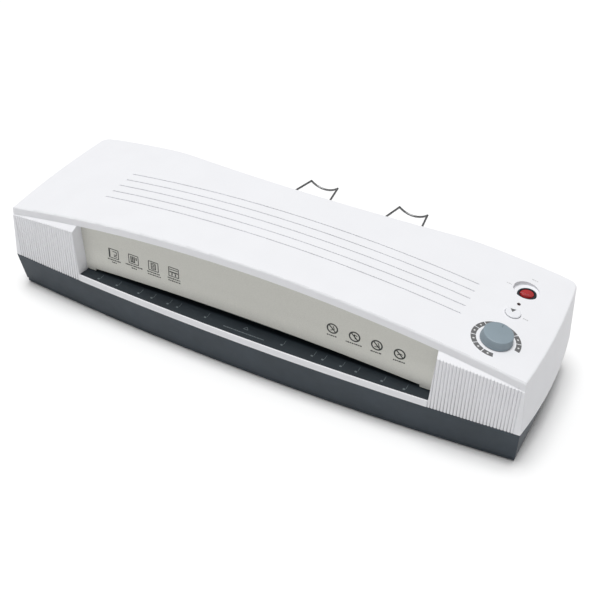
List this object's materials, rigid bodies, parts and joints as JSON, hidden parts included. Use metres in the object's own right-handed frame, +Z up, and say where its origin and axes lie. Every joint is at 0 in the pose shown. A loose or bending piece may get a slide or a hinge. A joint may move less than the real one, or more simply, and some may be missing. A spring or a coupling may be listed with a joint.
{
  "type": "pouch laminator",
  "caption": "Desktop pouch laminator for wide pouches: white crowned cover, slate base, front feed slot with silver panel, top dial, button and rocker switch, folding wire exit supports.",
  "frame": {"origin": "middle of the bounding box's bottom face, on the surface it stands on, with the wire supports out", "axes": "+X to the right seen from the front, +Y from the feed side to the exit side, +Z up"},
  "size_m": [0.5088, 0.2701, 0.1143],
  "materials": {
    "white_shell": "fine moulded texture, satin",
    "dark_shell": "fine moulded texture, slate",
    "silver_panel": "warm silver paint, satin",
    "black_plastic": "matt moulded",
    "grey_knob": "satin moulded, blue-grey",
    "white_button": "satin moulded",
    "red_rocker": "clear tinted, glossy",
    "lamp": "dark tinted lens",
    "rubber": "matt",
    "steel": "turned or drawn steel",
    "zinc_steel": "galvanised sheet",
    "wire_steel": "dark drawn wire",
    "aluminium": "extruded, mill finish",
    "silicone": "smooth heat-proof silicone",
    "acetal": "natural white moulded",
    "mica": "pressed mica sheet",
    "board": "green laminate",
    "brass": "turned"
  },
  "bodies": {
    "housing": {"top_cover": "white_shell", "base_tray": "dark_shell", "rubber_feet": "rubber", "front_panel": "silver_panel", "feed_guide": "black_plastic", "throat_lip": "black_plastic", "exit_bezel": "black_plastic", "side_frame_right": "zinc_steel", "side_frame_left": "zinc_steel", "lower_bushes": "brass", "upper_bearing_blocks": "acetal", "pressure_springs": "steel", "tie_rods": "steel", "heater_shoe_upper": "aluminium", "heater_shoe_lower": "aluminium", "heater_mat_upper": "mica", "heater_mat_lower": "mica", "thermostat": "aluminium", "thermal_fuse": "steel", "entry_guide_upper": "zinc_steel", "middle_guide_upper": "zinc_steel", "middle_guide_lower": "zinc_steel", "exit_guide_lower": "zinc_steel", "motor": "zinc_steel", "motor_bracket": "zinc_steel", "idler_pin": "steel", "control_board": "board", "potentiometer": "zinc_steel", "tact_switch": "black_plastic", "ready_lamp": "lamp", "power_switch_body": "black_plastic", "mains_inlet": "black_plastic", "power_board": "board", "cover_screws": "steel", "frame_screws": "steel", "board_screws": "steel"},
    "power_rocker": {"power_rocker": "red_rocker"},
    "reverse_button": {"reverse_button": "white_button", "tact_plunger": "acetal"},
    "temperature_knob": {"temperature_knob": "grey_knob", "potentiometer_shaft": "steel"},
    "support_left": {"wire_support_left": "wire_steel"},
    "support_right": {"wire_support_right": "wire_steel"},
    "pinion": {"motor_pinion": "acetal", "motor_shaft": "steel"},
    "idler": {"idler_gear": "steel"},
    "hot_lower_rollers": {"hot_lower_roller": "silicone", "hot_lower_shaft": "steel", "hot_lower_gear": "acetal"},
    "hot_upper_rollers": {"hot_upper_roller": "silicone", "hot_upper_shaft": "steel", "hot_upper_gear": "acetal"},
    "pull_lower_rollers": {"pull_lower_roller": "silicone", "pull_lower_shaft": "steel", "pull_lower_gear": "acetal"},
    "pull_upper_rollers": {"pull_upper_roller": "silicone", "pull_upper_shaft": "steel", "pull_upper_gear": "acetal"}
  },
  "joints": [
    {"name": "power_rocker_tilt", "type": "hinge", "parent": "housing", "child": "power_rocker", "pos_m": [0.2122, -0.0211, 0.0938], "axis": [1, 0, 0], "range_deg": [0, 16]},
    {"name": "reverse_button_press", "type": "slide", "parent": "housing", "child": "reverse_button", "axis": [-0.1582, 0, -0.9874], "range_m": [0, 0.0012], "stiffness_N_per_m": 1500, "springref_m": -0.0006},
    {"name": "temperature_dial", "type": "hinge", "parent": "housing", "child": "temperature_knob", "pos_m": [0.2097, -0.0921, 0.09764], "axis": [0.1582, 0, 0.9874], "range_deg": [-270, 0]},
    {"name": "support_left_fold", "type": "hinge", "parent": "housing", "child": "support_left", "pos_m": [-0.0508, 0.0177, 0.0444], "axis": [1, 0, 0], "range_deg": [0, 95]},
    {"name": "support_right_fold", "type": "hinge", "parent": "housing", "child": "support_right", "pos_m": [0.0508, 0.0177, 0.0444], "axis": [1, 0, 0], "range_deg": [0, 95]},
    {"name": "hot_lower_spin", "type": "hinge", "parent": "housing", "child": "hot_lower_rollers", "pos_m": [0, -0.0693, 0.03335], "axis": [1, 0, 0], "continuous": true},
    {"name": "hot_upper_spin", "type": "hinge", "parent": "housing", "child": "hot_upper_rollers", "pos_m": [0, -0.0693, 0.05965], "axis": [1, 0, 0], "continuous": true},
    {"name": "pull_lower_spin", "type": "hinge", "parent": "housing", "child": "pull_lower_rollers", "pos_m": [0, -0.0253, 0.03335], "axis": [1, 0, 0], "continuous": true},
    {"name": "pull_upper_spin", "type": "hinge", "parent": "housing", "child": "pull_upper_rollers", "pos_m": [0, -0.0253, 0.05965], "axis": [1, 0, 0], "continuous": true},
    {"name": "idler_spin", "type": "hinge", "parent": "housing", "child": "idler", "pos_m": [-0.187, -0.0473, 0.03075], "axis": [1, 0, 0], "continuous": true},
    {"name": "pinion_spin", "type": "hinge", "parent": "housing", "child": "pinion", "pos_m": [-0.187, -0.0893, 0.02505], "axis": [1, 0, 0], "continuous": true}
  ],
  "couplings": [
    {"joint": "hot_upper_spin", "follows": "hot_lower_spin", "ratio": -1},
    {"joint": "pull_lower_spin", "follows": "hot_lower_spin", "ratio": 1},
    {"joint": "pull_upper_spin", "follows": "hot_lower_spin", "ratio": -1},
    {"joint": "idler_spin", "follows": "hot_lower_spin", "ratio": -1.4444},
    {"joint": "pinion_spin", "follows": "hot_lower_spin", "ratio": -1.5294}
  ]
}
